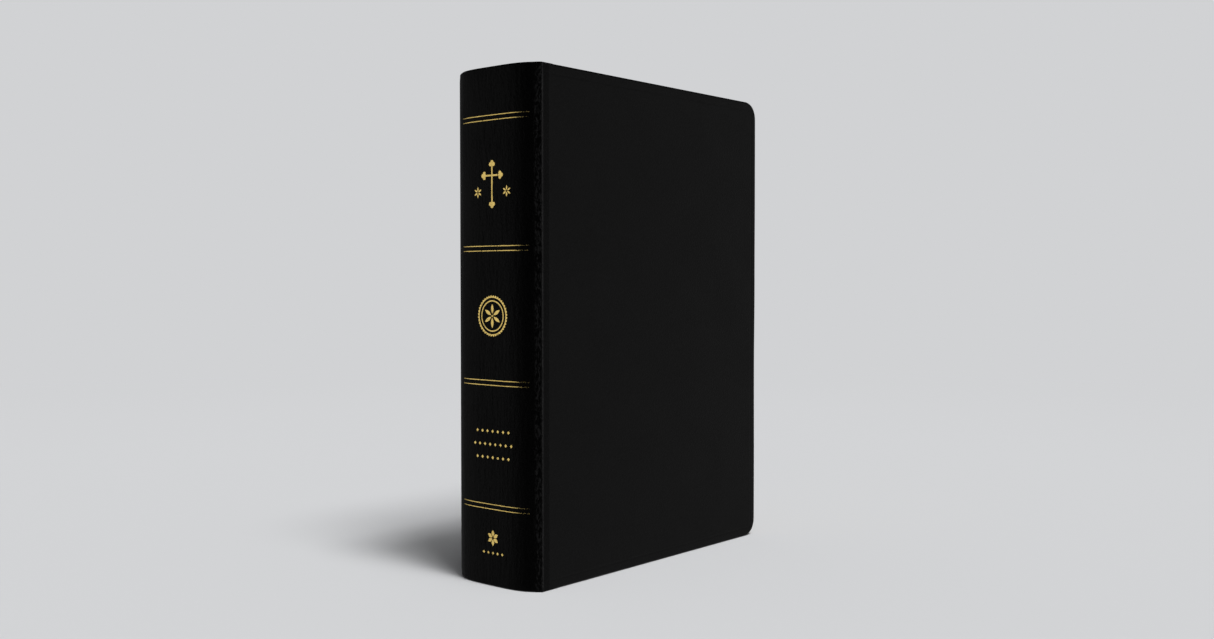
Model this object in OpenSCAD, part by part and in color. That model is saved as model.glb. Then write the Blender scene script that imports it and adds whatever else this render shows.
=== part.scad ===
// Limp leather Bible, standing upright on the tail edge of its covers.
// +Z runs from tail to head, the spine faces -X, the front cover faces -Y.
// The origin is under the middle of the closed book. All sizes are in millimetres.

/* [Pages] */
// Height of a page, from tail to head
page_height = 233; // [200:1:260]
// Width of a page, from its back fold to the fore edge
page_width = 168.4; // [150:0.1:190]
// Thickness of all the leaves together
block_thickness = 47.8; // [36:0.1:60]
// Sewn sections in each half of the block
sections_per_half = 11; // [8:1:14]
// Thickness of each of the four gatherings at the middle opening
gathering_thickness = 0.8; // [0.5:0.1:1.2]
// Clearance between neighbouring paper pieces
paper_gap = 0.1; // [0.05:0.05:0.2]
// Thickness of the endpapers
endpaper_thickness = 0.2; // [0.1:0.05:0.3]

/* [Cover] */
// How far the cover stands past the pages at head and tail
square_margin = 3.5; // [2:0.5:5]
// Radius of the cover's two corners at the fore edge
corner_radius = 9; // [6:0.5:14]
// Thickness of the leather
leather_thickness = 1.0; // [0.8:0.1:1.4]
// Thickness of the flexible board
board_thickness = 1.2; // [0.8:0.1:1.6]
// Thickness of the leather where it is pared and turned in
turn_in_thickness = 0.3; // [0.2:0.1:0.5]
// Width of the turned-in leather
turn_in_width = 15; // [10:1:20]
// Width of the flexible joint between the shoulder and the board
joint_width = 6; // [4:0.5:8]

/* [Spine] */
// Depth of the closed book, from the crown of the spine to the fore edge
book_depth = 180; // [178:0.5:200]
// Radius of the rounded back
spine_radius = 69; // [60:1:90]
// Radius of the spine's two shoulders
shoulder_radius = 3.5; // [3:0.1:4.5]
// Thickness of the inlay strip under the spine leather
inlay_thickness = 0.6; // [0.4:0.1:0.8]
// Thickness of the kraft spine lining
lining_thickness = 0.3; // [0.2:0.1:0.4]
// Thickness of the mull gauze
mull_thickness = 0.2; // [0.2:0.1:0.3]
// Thickness of the sewing thread
thread_thickness = 0.4; // [0.3:0.1:0.5]
// How far the head band and the tail band stand past the pages
band_rise = 1.8; // [1:0.1:2.2]

/* [Gilding] */
// Depth of the gilt in the leather
gilt_depth = 0.15; // [0.1:0.05:0.2]
// Shift of the tooling towards the back cover
gilt_shift = -1.2; // [-3:0.1:3]
// Length of the double rules round the spine
rule_length = 43; // [38:0.5:44]
// Thickness of one gilt line
rule_thickness = 0.5; // [0.4:0.1:1]
// Distance between the two lines of a double rule
rule_spacing = 2.2; // [2:0.05:3]
// Radius of the ring seal
seal_radius = 9.5; // [8:0.1:11]
// Height of the cross in the top panel
cross_height = 22; // [18:1:28]

/* [Hidden] */
$fn = 96;
eps = 0.01;
big = 1000;

cover_height = page_height + 2 * square_margin;
block_half = block_thickness / 2;

// Layers of a cover, from the pages outwards
flyleaf_y = block_half + paper_gap;
pastedown_y = flyleaf_y + endpaper_thickness + paper_gap;
filler_y = pastedown_y + endpaper_thickness;
board_y = filler_y + turn_in_thickness;
skin_y = board_y + board_thickness;
half_thickness = skin_y + leather_thickness;

// Plan of the rounded back
crown_x = -book_depth / 2;
fore_edge_x = book_depth / 2;
arc_x = crown_x + spine_radius;
shoulder_y = half_thickness - shoulder_radius;
shoulder_x = arc_x - sqrt(pow(spine_radius - shoulder_radius, 2) - pow(shoulder_y, 2));
board_x = shoulder_x + joint_width;

// Layers of the spine, measured inwards from the leather's outer face
turn_in_inset = leather_thickness + inlay_thickness;
lining_inset = turn_in_inset + turn_in_thickness;
mull_inset = lining_inset + lining_thickness;
thread_inset = mull_inset + mull_thickness;
fold_inset = thread_inset + thread_thickness + paper_gap;
inlay_half_width = block_half - 2;
fold_gap = 0.1;
joint_gap = 0.05;

// Middle gatherings and sections
gathering_pitch = gathering_thickness + paper_gap;
gatherings = 4;
section_start_y = gatherings / 2 * gathering_pitch + paper_gap / 2;
section_pitch = (block_half - section_start_y) / sections_per_half;
page_corner = corner_radius - square_margin;
mull_margin = 17;
flyleaf_x = shoulder_x + 0.4;

// Sewing stations
stations = 6;
station_margin = 30;
station_pitch = (page_height - 2 * station_margin) / (stations - 1);
stitch_length = 14;
band_depth = 2.2;
band_flange = 12;

// Heights of the gilt tooling above the tail
rule_heights = [37, 94.5, 156.5, 216.5];
cross_z = 186;
flower_z = 182.5;
seal_z = 125.4;
lozenges_z = 66;
mark_z = 22.5;
mark_row_z = 15.5;
seal_scallops = 40;
seal_line = 0.7;
cross_stroke = 1.1;
bud_radius = 1.2;
lozenge_size = 1.25;
lozenge_pitch = 3.35;
lozenge_row_pitch = 6.1;
lozenge_rows = [7, 8, 7];
mark_lozenge_size = 1;
mark_lozenges = 5;
flower_radius = 2.6;
flower_offset = 9.3;
mark_radius = 3.7;
seal_flower_radius = 5.6;
petal_ratio = 0.36;

leather_colour = [0.09, 0.09, 0.09];
gilt_colour = [0.85, 0.68, 0.3];
paper_colour = [0.93, 0.9, 0.82];
board_colour = [0.55, 0.5, 0.42];
endpaper_colour = [0.16, 0.15, 0.14];
kraft_colour = [0.62, 0.47, 0.3];
gauze_colour = [0.85, 0.83, 0.76];

FRONT = -1;
BACK = 1;

// The x where a circle round the spine's centre has a given y
function arc_at(radius, y) = arc_x - sqrt(radius * radius - y * y);

// Height above the tail of one sewing station
function station_z(i) = square_margin + station_margin + i * station_pitch;

// ---------- shared shapes ----------

// Plan of the cover's outline, shrunk by inset, running from the spine past the fore edge
module plan_outline(inset) {
    reach = spine_radius - inset;
    translate([arc_x, 0])
        intersection() {
            circle(r = reach);
            polygon([[0, 0], 2 * [shoulder_x - arc_x, -shoulder_y], 2 * [shoulder_x - arc_x, shoulder_y]]);
        }
    for (side = [FRONT, BACK])
        translate([shoulder_x, side * shoulder_y])
            circle(r = shoulder_radius - inset);
    translate([shoulder_x - eps, inset - half_thickness])
        square([book_depth, 2 * (half_thickness - inset)]);
}

// Everything on one side of the fold at the spine's crown, up to a given x
module side_plan(side, x_end) {
    low_y = side == FRONT ? -big : fold_gap / 2;
    translate([-big, low_y])
        square([big + x_end, big - fold_gap / 2]);
}

// A layer of the spine that follows the whole outline round the shoulder
module outline_layer(side, outer, inner) {
    intersection() {
        difference() {
            plan_outline(outer);
            plan_outline(inner);
        }
        side_plan(side, shoulder_x);
    }
}

// A layer of the spine that lies on the rounded back only, out to half_width
module back_layer(side, outer, inner, half_width) {
    low_y = side == FRONT ? -half_width : fold_gap / 2;
    intersection() {
        translate([arc_x, 0])
            difference() {
                circle(r = spine_radius - outer);
                circle(r = spine_radius - inner);
            }
        translate([crown_x - eps, low_y])
            square([spine_radius, half_width - fold_gap / 2]);
    }
}

// A plate facing the reader: spine edge at x_from, fore edge at x_to, with two round corners there
module plate(x_from, x_to, z_from, z_to, corner) {
    translate([x_from, z_from])
        square([x_to - x_from - corner, z_to - z_from]);
    translate([x_from, z_from + corner])
        square([x_to - x_from, z_to - z_from - 2 * corner]);
    for (z = [z_from + corner, z_to - corner])
        translate([x_to - corner, z])
            circle(r = corner);
}

// Stands a plate drawn in x and z upright, filling side * y_from to side * y_to
module upright(side, y_from, y_to) {
    low_y = side == FRONT ? -y_to : y_from;
    translate([0, low_y + y_to - y_from, 0])
        rotate([90, 0, 0])
            linear_extrude(y_to - y_from)
                children();
}

// Repeats a short end piece at the tail and at the head
module at_both_ends(length) {
    for (z = [0, cover_height - length])
        translate([0, 0, z])
            children();
}

// ---------- covers ----------

module cover_leather(side) {
    color(leather_colour)
        difference() {
            upright(side, filler_y, half_thickness)
                plate(board_x, fore_edge_x, 0, cover_height, corner_radius);
            upright(side, board_y, skin_y)
                board_plan();
            upright(side, filler_y - eps, board_y + eps)
                filler_plan();
        }
}

module board_plan() {
    plate(board_x - eps, fore_edge_x - leather_thickness, leather_thickness,
          cover_height - leather_thickness, corner_radius - leather_thickness);
}

module filler_plan() {
    translate([board_x - eps, turn_in_width])
        square([fore_edge_x - turn_in_width - board_x, cover_height - 2 * turn_in_width]);
}

module cover_board(side) {
    color(board_colour)
        upright(side, board_y, skin_y)
            intersection() {
                board_plan();
                translate([board_x, 0])
                    square([book_depth, cover_height]);
            }
}

module cover_filler(side) {
    color(kraft_colour)
        upright(side, filler_y, board_y)
            intersection() {
                filler_plan();
                translate([board_x, 0])
                    square([book_depth, cover_height]);
            }
}

module pastedown(side) {
    margin = square_margin + 0.5;
    color(endpaper_colour)
        upright(side, pastedown_y, filler_y)
            plate(board_x, fore_edge_x - margin, margin, cover_height - margin, corner_radius - margin);
}

// ---------- flexible joints ----------

// A strip of the joint, a hair clear of the spine and of the board, which turn away from it
module joint_strip(side, y_from, y_to, height) {
    upright(side, y_from, y_to)
        translate([shoulder_x + joint_gap, 0])
            square([joint_width - 2 * joint_gap, height]);
}

module joint_leather(side) {
    color(leather_colour) {
        joint_strip(side, skin_y, half_thickness, cover_height);
        at_both_ends(turn_in_width)
            joint_strip(side, skin_y - turn_in_thickness, skin_y, turn_in_width);
    }
}

module joint_mull(side) {
    color(gauze_colour)
        translate([0, 0, mull_margin])
            joint_strip(side, skin_y - mull_thickness, skin_y, cover_height - 2 * mull_margin);
}

module joint_endpaper(side) {
    outer_y = skin_y - turn_in_thickness;
    color(endpaper_colour)
        translate([0, 0, square_margin])
            joint_strip(side, outer_y - endpaper_thickness, outer_y, page_height);
}

// ---------- spine ----------

module spine_leather(side) {
    color(leather_colour)
        difference() {
            spine_skin(side);
            gilt_rules(side);
            gilt_ornaments(side);
        }
}

// The leather before tooling: the skin, and its pared ends turned over the inlay
module spine_skin(side) {
    linear_extrude(cover_height)
        outline_layer(side, 0, leather_thickness);
    at_both_ends(leather_thickness)
        linear_extrude(leather_thickness)
            back_layer(side, leather_thickness - eps, lining_inset, inlay_half_width);
    at_both_ends(turn_in_width)
        linear_extrude(turn_in_width)
            back_layer(side, turn_in_inset, lining_inset, inlay_half_width);
}

module spine_inlay(side) {
    color(board_colour)
        translate([0, 0, leather_thickness])
            linear_extrude(cover_height - 2 * leather_thickness)
                back_layer(side, leather_thickness, turn_in_inset, inlay_half_width);
}

module spine_lining(side) {
    color(kraft_colour)
        translate([0, 0, square_margin])
            linear_extrude(page_height)
                back_layer(side, lining_inset, mull_inset, block_half - paper_gap);
}

module spine_mull(side) {
    color(gauze_colour)
        translate([0, 0, mull_margin])
            linear_extrude(cover_height - 2 * mull_margin)
                back_layer(side, mull_inset, thread_inset, block_half - paper_gap);
}

// ---------- gilding ----------

// Sinks flat tooling, drawn in y and z, into the leather of the rounded back
module tooled(side) {
    color(gilt_colour)
        intersection() {
            linear_extrude(cover_height)
                outline_layer(side, 0, gilt_depth);
            translate([crown_x - 1, 0, 0])
                rotate([90, 0, 90])
                    linear_extrude(shoulder_x - crown_x)
                        translate([gilt_shift, 0])
                            children();
        }
}

module gilt_rules(side) {
    tooled(side)
        for (z = rule_heights, line = [-1, 1])
            translate([-rule_length / 2, z + line * rule_spacing / 2 - rule_thickness / 2])
                square([rule_length, rule_thickness]);
}

module gilt_ornaments(side) {
    tooled(side) {
        translate([0, cross_z])
            latin_cross();
        for (y = [-flower_offset, flower_offset])
            translate([y, flower_z])
                flower(flower_radius);
        translate([0, seal_z])
            ring_seal();
        for (row = [0:len(lozenge_rows) - 1])
            translate([0, lozenges_z + (1 - row) * lozenge_row_pitch])
                lozenge_row(lozenge_rows[row], lozenge_size, lozenge_pitch);
        translate([0, mark_z])
            flower(mark_radius);
        translate([0, mark_row_z])
            lozenge_row(mark_lozenges, mark_lozenge_size, 3 * mark_lozenge_size);
    }
}

// A Latin cross whose four arms end in trefoil buds
module latin_cross() {
    reach = cross_height / 2 - 2 * bud_radius;
    half_arm = 0.56 * reach;
    crossing = reach - half_arm;
    square([cross_stroke, 2 * reach], center = true);
    translate([0, crossing])
        square([2 * half_arm, cross_stroke], center = true);
    trefoil(0, reach, 90);
    trefoil(0, -reach, -90);
    trefoil(half_arm, crossing, 0);
    trefoil(-half_arm, crossing, 180);
}

module trefoil(x, y, direction) {
    for (turn = [-90, 0, 90])
        translate([x, y])
            rotate(direction + turn)
                translate([bud_radius, 0])
                    circle(r = bud_radius, $fn = 32);
}

module ring(radius, line) {
    difference() {
        circle(r = radius);
        circle(r = radius - line);
    }
}

module ring_seal() {
    scallop_radius = seal_line / 2;
    ring(seal_radius - scallop_radius, seal_line);
    ring(seal_radius - 3 * seal_line, seal_line);
    for (i = [0:seal_scallops - 1])
        rotate(i * 360 / seal_scallops)
            translate([seal_radius - scallop_radius, 0])
                circle(r = scallop_radius, $fn = 16);
    flower(seal_flower_radius);
}

// Lozenges side by side, centred
module lozenge_row(count, size, pitch) {
    for (i = [0:count - 1])
        translate([(i - (count - 1) / 2) * pitch, 0])
            rotate(45)
                square(size, center = true);
}

// Six leaf-shaped petals, each the overlap of two circles, round a small boss
module flower(radius) {
    petals = 6;
    length = radius * 0.84;
    half_width = length * petal_ratio / 2;
    bow = (length * length / 4 + half_width * half_width) / (2 * half_width);
    circle(r = half_width, $fn = 24);
    for (i = [0:petals - 1])
        rotate(90 + i * 360 / petals)
            translate([radius - length / 2, 0])
                intersection() {
                    translate([0, bow - half_width])
                        circle(r = bow);
                    translate([0, half_width - bow])
                        circle(r = bow);
                }
}

// ---------- text block ----------

module page_plate(x_from) {
    plate(x_from, x_from + page_width, square_margin, square_margin + page_height, page_corner);
}

module sections(side) {
    color(paper_colour)
        for (i = [0:sections_per_half - 1]) {
            y_from = section_start_y + i * section_pitch;
            y_to = y_from + section_pitch - paper_gap;
            upright(side, y_from, y_to)
                page_plate(arc_at(spine_radius - fold_inset, y_to));
        }
}

module gathering(number) {
    y_from = (number - 1 - gatherings / 2) * gathering_pitch + paper_gap / 2;
    color(paper_colour)
        upright(BACK, y_from, y_from + gathering_thickness)
            page_plate(arc_at(spine_radius - fold_inset, section_start_y));
}

module flyleaf(side) {
    x_end = arc_at(spine_radius - fold_inset, block_half) + page_width;
    color(endpaper_colour)
        upright(side, flyleaf_y, flyleaf_y + endpaper_thickness)
            plate(flyleaf_x, x_end, square_margin, square_margin + page_height, page_corner);
}

// One stitch over the back fold of each section, at each station
module sewing_thread(side) {
    color("ivory")
        for (i = [0:sections_per_half - 1], station = [0:stations - 1]) {
            y = section_start_y + (i + 0.5) * section_pitch;
            x = arc_at(spine_radius - thread_inset - thread_thickness / 2, y);
            translate([x, side * y, station_z(station) - stitch_length / 2])
                cylinder(d = thread_thickness - 4 * eps, h = stitch_length, $fn = 8);
        }
}

// A band has a bead that stands past the pages and a flange glued to their backs
module band(side, bead_z, flange_z) {
    color("darkred") {
        translate([0, 0, bead_z])
            linear_extrude(band_rise)
                back_layer(side, mull_inset, fold_inset + band_depth, block_half - 1);
        translate([0, 0, flange_z])
            linear_extrude(band_flange)
                back_layer(side, mull_inset, thread_inset, block_half - 1);
    }
}

module head_band(side) {
    top_z = square_margin + page_height;
    band(side, top_z, top_z - band_flange);
}

module tail_band(side) {
    band(side, square_margin - band_rise, square_margin);
}

cover_leather(FRONT);  // front_cover_leather
cover_board(FRONT);  // front_cover_board
cover_filler(FRONT);  // front_cover_filler
pastedown(FRONT);  // front_pastedown
cover_leather(BACK);  // back_cover_leather
cover_board(BACK);  // back_cover_board
cover_filler(BACK);  // back_cover_filler
pastedown(BACK);  // back_pastedown
joint_leather(FRONT);  // front_joint_leather
joint_mull(FRONT);  // front_joint_mull
joint_endpaper(FRONT);  // front_joint_endpaper
joint_leather(BACK);  // back_joint_leather
joint_mull(BACK);  // back_joint_mull
joint_endpaper(BACK);  // back_joint_endpaper
spine_leather(FRONT);  // front_spine_leather
spine_inlay(FRONT);  // front_spine_inlay
spine_lining(FRONT);  // front_spine_lining
spine_mull(FRONT);  // front_spine_mull
spine_leather(BACK);  // back_spine_leather
spine_inlay(BACK);  // back_spine_inlay
spine_lining(BACK);  // back_spine_lining
spine_mull(BACK);  // back_spine_mull
gilt_rules(FRONT);  // front_gilt_rules
gilt_ornaments(FRONT);  // front_gilt_ornaments
gilt_rules(BACK);  // back_gilt_rules
gilt_ornaments(BACK);  // back_gilt_ornaments
head_band(FRONT);  // front_head_band
tail_band(FRONT);  // front_tail_band
head_band(BACK);  // back_head_band
tail_band(BACK);  // back_tail_band
sewing_thread(FRONT);  // front_sewing_thread
sewing_thread(BACK);  // back_sewing_thread
sections(FRONT);  // front_sections
sections(BACK);  // back_sections
flyleaf(FRONT);  // front_flyleaf
flyleaf(BACK);  // back_flyleaf
gathering(1);  // gathering_1
gathering(2);  // gathering_2
gathering(3);  // gathering_3
gathering(4);  // gathering_4
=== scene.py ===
"""The looks of a limp leather Bible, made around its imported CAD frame. All lengths are in metres."""

import bisect
import math
import random

import bmesh
import bpy
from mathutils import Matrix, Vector, noise


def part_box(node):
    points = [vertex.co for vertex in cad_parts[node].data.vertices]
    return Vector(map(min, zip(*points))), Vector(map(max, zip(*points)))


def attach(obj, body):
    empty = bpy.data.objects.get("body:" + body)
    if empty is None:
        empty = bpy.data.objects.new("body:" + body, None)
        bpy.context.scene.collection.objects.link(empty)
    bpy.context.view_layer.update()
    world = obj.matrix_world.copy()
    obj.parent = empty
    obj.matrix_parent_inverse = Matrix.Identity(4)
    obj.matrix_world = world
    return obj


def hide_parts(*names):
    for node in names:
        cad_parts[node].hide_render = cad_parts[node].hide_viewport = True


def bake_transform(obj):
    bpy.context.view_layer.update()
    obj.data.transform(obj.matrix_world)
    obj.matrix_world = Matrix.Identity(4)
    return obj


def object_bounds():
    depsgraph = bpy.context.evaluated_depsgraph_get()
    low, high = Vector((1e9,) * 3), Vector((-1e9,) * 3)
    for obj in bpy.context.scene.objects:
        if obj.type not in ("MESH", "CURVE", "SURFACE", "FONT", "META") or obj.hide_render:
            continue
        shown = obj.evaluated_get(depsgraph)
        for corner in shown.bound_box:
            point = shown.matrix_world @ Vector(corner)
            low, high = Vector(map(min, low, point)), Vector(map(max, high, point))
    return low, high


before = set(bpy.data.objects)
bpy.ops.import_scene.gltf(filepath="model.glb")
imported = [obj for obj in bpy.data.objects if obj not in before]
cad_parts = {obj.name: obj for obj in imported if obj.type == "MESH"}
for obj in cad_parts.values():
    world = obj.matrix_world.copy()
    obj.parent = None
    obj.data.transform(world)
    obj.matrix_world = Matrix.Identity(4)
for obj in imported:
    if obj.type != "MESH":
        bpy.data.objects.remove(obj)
cad_low, cad_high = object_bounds()

# ---------- sizes: some taken from the frame, some given ---

MM = 0.001
FRONT, BACK = -1, 1
SIDE_NAMES = {FRONT: "front", BACK: "back"}

# The crown of the spine, the fore edge, half the thickness and the height
CROWN = cad_low.x
FORE = cad_high.x
HALF = cad_high.y
HEAD = cad_high.z

# Where a cover folds: at the spine's shoulder and at the edge of its board
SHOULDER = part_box("front_spine_leather")[1].x
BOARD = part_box("front_cover_leather")[0].x

# How thick the skin is over a board, in a joint and over the spine, with what is glued inside it
COVER_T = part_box("front_cover_leather")[1].y + HALF
JOINT_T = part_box("front_joint_endpaper")[1].y + HALF
SPINE_T = 1.9 * MM
PASTEDOWN_T = 0.2 * MM

# The spine's outer face in plan: almost flat in the middle, rounding towards a crisp turn at each shoulder
SPINE_DEPTH = 6.4 * MM
TURN_RADIUS = 1.2 * MM

# The round corners at the fore edge of the covers
CORNER = 9 * MM

# The CAD's own plan, which the leather's inner face and the layers under it keep to
SPINE_RADIUS = 69 * MM
SHOULDER_RADIUS = 3.5 * MM
ARC_X = CROWN + SPINE_RADIUS
FILLET_Y = HALF - SHOULDER_RADIUS
TURN = math.atan2(FILLET_Y, ARC_X - SHOULDER)

# The leaves, whose folds lie on an arc round the same centre as the spine
PAGE_LOW, PAGE_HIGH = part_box("gathering_2")
PAGE_WIDTH = PAGE_HIGH.x - PAGE_LOW.x
FOLD_RADIUS = ARC_X - PAGE_LOW.x
PAGE_CORNER = 5.5 * MM

# Where the skin is cut into pieces, and how far each fold reaches
Y_CUT = 24 * MM
X_CUT = (SHOULDER + BOARD) / 2
CROWN_BEND = 1.5 * MM
JOINT_BEND = 2.0 * MM

# The skin's rim: a rounded edge, then rows at these distances from the edge
RIM = [d * MM for d in (1.5, 2.2, 3.0, 3.6, 4.0, 4.3, 4.6, 4.9, 5.3, 6, 7.5, 9, 12)]
ROUND_STEPS = 5
ROW_PITCH = 1.5 * MM

# The leather's relief, as depths below its nominal face
CREASE_DEPTH = 0.12 * MM
VALLEY_DEPTH = 0.22 * MM
GROOVE_DEPTH = 0.2 * MM
PILLOW_DEPTH = 0.2 * MM
PILLOW_REACH = 4.2 * MM
COVER_SLACK = 0.1 * MM
SPINE_SLACK = 0.08 * MM
EDGE_WAVE = 0.75 * MM

# The line impressed round each cover: how far in from the edge, how wide and how deep
BORDER_IN = 4.6 * MM
BORDER_WIDTH = 0.42 * MM
BORDER_DEPTH = 0.16 * MM


def smooth(a, b, v):
    """0 below a, 1 above b, turning smoothly between them."""
    t = min(1.0, max(0.0, (v - a) / (b - a)))
    return t * t * (3 - 2 * t)


def spread(a, b, pitch):
    """Evenly spaced values from a to b, both included, at most pitch apart."""
    count = max(1, math.ceil(abs(b - a) / pitch - 1e-6))
    return [a + (b - a) * i / count for i in range(count + 1)]


def mirrored(half):
    """Values that start at 0, with their negatives before them."""
    return [-v for v in reversed(half[1:])] + half


def quarter(steps):
    """Angles from 0 to a right angle."""
    return [math.pi / 2 * i / steps for i in range(steps + 1)]


def spine_slope(y):
    """The slope in plan of the spine's outer face, which is a curve of the fourth power."""
    return 4 * SPINE_DEPTH / HALF * (y / HALF) ** 3


def trace_outline():
    """(distance, x, y, turn) along the outer face, from the crown to the start of the flat side."""
    y_turn = HALF
    for _ in range(20):
        y_turn = HALF - TURN_RADIUS * (1 - math.sin(math.atan(spine_slope(y_turn))))
    points = [(CROWN + SPINE_DEPTH * (y / HALF) ** 4, y, math.atan(spine_slope(y)))
              for y in spread(0, y_turn, 0.05 * MM)]
    x, y, start = points[-1]
    for a in spread(start, math.pi / 2, 0.03)[1:]:
        points.append((x + TURN_RADIUS * (math.cos(start) - math.cos(a)),
                       y + TURN_RADIUS * (math.sin(a) - math.sin(start)), a))
    traced, s = [(0.0, *points[0])], 0.0
    for (x0, y0, _), (x1, y1, a1) in zip(points, points[1:]):
        s += math.hypot(x1 - x0, y1 - y0)
        traced.append((s, x1, y1, a1))
    return traced


OUTLINE = trace_outline()
DISTANCES = [row[0] for row in OUTLINE]
S_FLAT, FLAT_X = OUTLINE[-1][:2]
S_CUT = next(row[0] for row in OUTLINE if row[2] >= Y_CUT)
S_SHOULDER = S_FLAT + SHOULDER - FLAT_X


def plan(s):
    """The point and outward normal, in plan, s round the cover from the crown; front is negative."""
    side = -1 if s < 0 else 1
    s = abs(s)
    if s >= S_FLAT:
        return FLAT_X + s - S_FLAT, side * HALF, 0.0, side
    i = max(1, bisect.bisect(DISTANCES, s))
    low, high = OUTLINE[i - 1], OUTLINE[i]
    t = (s - low[0]) / (high[0] - low[0])
    x, y, a = (low[k] + (high[k] - low[k]) * t for k in (1, 2, 3))
    return x, side * y, -math.cos(a), side * math.sin(a)


def inner_plan(s, depth):
    """The point on the leather's inner face behind plan(s), a depth below the CAD's outer face."""
    side = -1 if s < 0 else 1
    s = abs(s)
    arc = SPINE_RADIUS * TURN
    shoulder = arc + SHOULDER_RADIUS * (math.pi / 2 - TURN)
    if s >= S_SHOULDER:
        return SHOULDER + s - S_SHOULDER, side * (HALF - depth)
    s *= shoulder / S_SHOULDER
    if s <= arc:
        a, r = s / SPINE_RADIUS, SPINE_RADIUS - depth
        return ARC_X - r * math.cos(a), side * r * math.sin(a)
    a, r = TURN + (s - arc) / SHOULDER_RADIUS, SHOULDER_RADIUS - depth
    return SHOULDER - r * math.cos(a), side * (FILLET_Y + r * math.sin(a))


def flat_s(side, x):
    """The distance round the cover at which its flat face reaches x."""
    return side * (S_FLAT + x - FLAT_X)


# ---------- the leather's relief ----------

def creases(s, z):
    """Fine vertical creases where the spine flexes: along its middle and towards its joints."""
    y = abs(s)
    where = 0.2 + 1.2 * math.exp(-((y - 4 * MM) / (5 * MM)) ** 2)
    where += 0.8 * math.exp(-((y - 24 * MM) / (3 * MM)) ** 2)
    where *= 1 - smooth(S_FLAT - 2 * MM, S_FLAT, y)
    drift = 1.5 * noise.noise(Vector((s * 120, z * 45, 5.0)))
    depth = 0
    for wave, length, share in ((2.0 * MM, 16 * MM, 0.6), (1.2 * MM, 8 * MM, 0.4)):
        n = noise.noise(Vector((s / wave + drift, z / length, wave * 9e3)))
        depth += share * max(0, 1 - abs(n) / 0.25) ** 2
    return CREASE_DEPTH * where * depth


def relief(s, z):
    """How far the leather lies below its nominal face; never above it."""
    y = abs(s)
    past = y - S_FLAT
    edge = min(z, HEAD - z)
    on_cover = smooth(0, 5 * MM, past)
    slack = 0.5 + 0.5 * noise.noise(Vector((s * 16, z * 13, 2.0)))
    valley = smooth(-10 * MM, -3 * MM, past) * (1 - smooth(-2.8 * MM, -0.6 * MM, past))
    groove = smooth(-0.2 * MM, 1.4 * MM, past) * (1 - smooth(1.8 * MM, 5.5 * MM, past))
    fore = FORE - FLAT_X - past
    rim = min(edge, fore) if past > 0 else edge
    line = math.exp(-((rim - BORDER_IN) / BORDER_WIDTH) ** 2)
    pillow = 1 - smooth(0, PILLOW_REACH, rim)
    depth = creases(s, z) + VALLEY_DEPTH * valley + GROOVE_DEPTH * groove + PILLOW_DEPTH * pillow
    depth += on_cover * (COVER_SLACK * slack + BORDER_DEPTH * line)
    depth += (1 - on_cover) * SPINE_SLACK * slack * smooth(0, 3 * MM, y)
    return depth


def outer_depth(s, z, depth, thickness):
    """A depth on the outer face or its rounded edge, with the relief, which halves towards the rim."""
    return depth + relief(s, z) * (1 if depth < 0.3 * thickness else 0.5)


def edge_wave(z):
    """The limp fore edge's wobble, inwards."""
    return EDGE_WAVE * (0.5 + 0.5 * noise.noise(Vector((4.3, z * 21, 7.7))))


# ---------- mesh helpers ----------

def finish_mesh(name, bm, materials, sharp=50):
    """Makes an object of a bmesh, smooth apart from its sharp edges, that remembers its rest place in mm."""
    bmesh.ops.remove_doubles(bm, verts=bm.verts, dist=1e-6)
    bmesh.ops.recalc_face_normals(bm, faces=bm.faces)
    if bm.calc_volume(signed=True) < 0:
        bmesh.ops.reverse_faces(bm, faces=bm.faces)
    mesh = bpy.data.meshes.new(name)
    bm.to_mesh(mesh)
    bm.free()
    for polygon in mesh.polygons:
        polygon.use_smooth = True
    mesh.set_sharp_from_angle(angle=math.radians(sharp))
    obj = bpy.data.objects.new(name, mesh)
    bpy.context.scene.collection.objects.link(obj)
    for material in materials:
        mesh.materials.append(material)
    remember_rest(mesh)
    return obj


def remember_rest(mesh):
    """Stores each point's rest place in mm, which the materials' patterns are laid on."""
    rest = mesh.attributes.new("rest_mm", "FLOAT_VECTOR", "POINT")
    for i, v in enumerate(mesh.vertices):
        rest.data[i].vector = v.co / MM


def bridge(bm, rows, closed):
    """Quads between each two neighbouring rows of as many vertices."""
    for first, second in zip(rows, rows[1:]):
        count = len(first)
        for i in range(count if closed else count - 1):
            j = (i + 1) % count
            bm.faces.new([first[i], first[j], second[j], second[i]])


def loft(bm, loops):
    """A closed solid through loops of as many vertices, capped at both ends."""
    bridge(bm, loops, closed=True)
    bm.faces.new(loops[0])
    bm.faces.new(loops[-1])


def rim_arc(thickness):
    """(distance in from the edge, depth below the face) round half of a rounded edge, outermost first."""
    r = 0.45 * thickness
    return [(r * (1 - math.cos(a)), r * (1 - math.sin(a))) for a in quarter(ROUND_STEPS - 1)]


ROWS = spread(RIM[-1], HEAD - RIM[-1], ROW_PITCH)


def face_rows(thickness):
    """(z, depth) of every row of one face, from the tail edge to the head edge."""
    half = rim_arc(thickness) + [(e, 0.0) for e in RIM[:-1]]
    return half + [(z, 0.0) for z in ROWS] + [(HEAD - e, d) for e, d in reversed(half)]


# ---------- the leather skin ----------

def skin_thickness(s):
    """How thick the skin is: full over the spine, thin in the joint, full again over the board."""
    past = abs(s) - S_FLAT
    thin = smooth(S_CUT - 2 * MM, S_CUT + 1.5 * MM, abs(s))
    thick = smooth(BOARD - FLAT_X - 0.6 * MM, BOARD - FLAT_X + 1.2 * MM, past)
    return SPINE_T + (JOINT_T - SPINE_T) * thin + (COVER_T - JOINT_T) * thick


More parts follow.
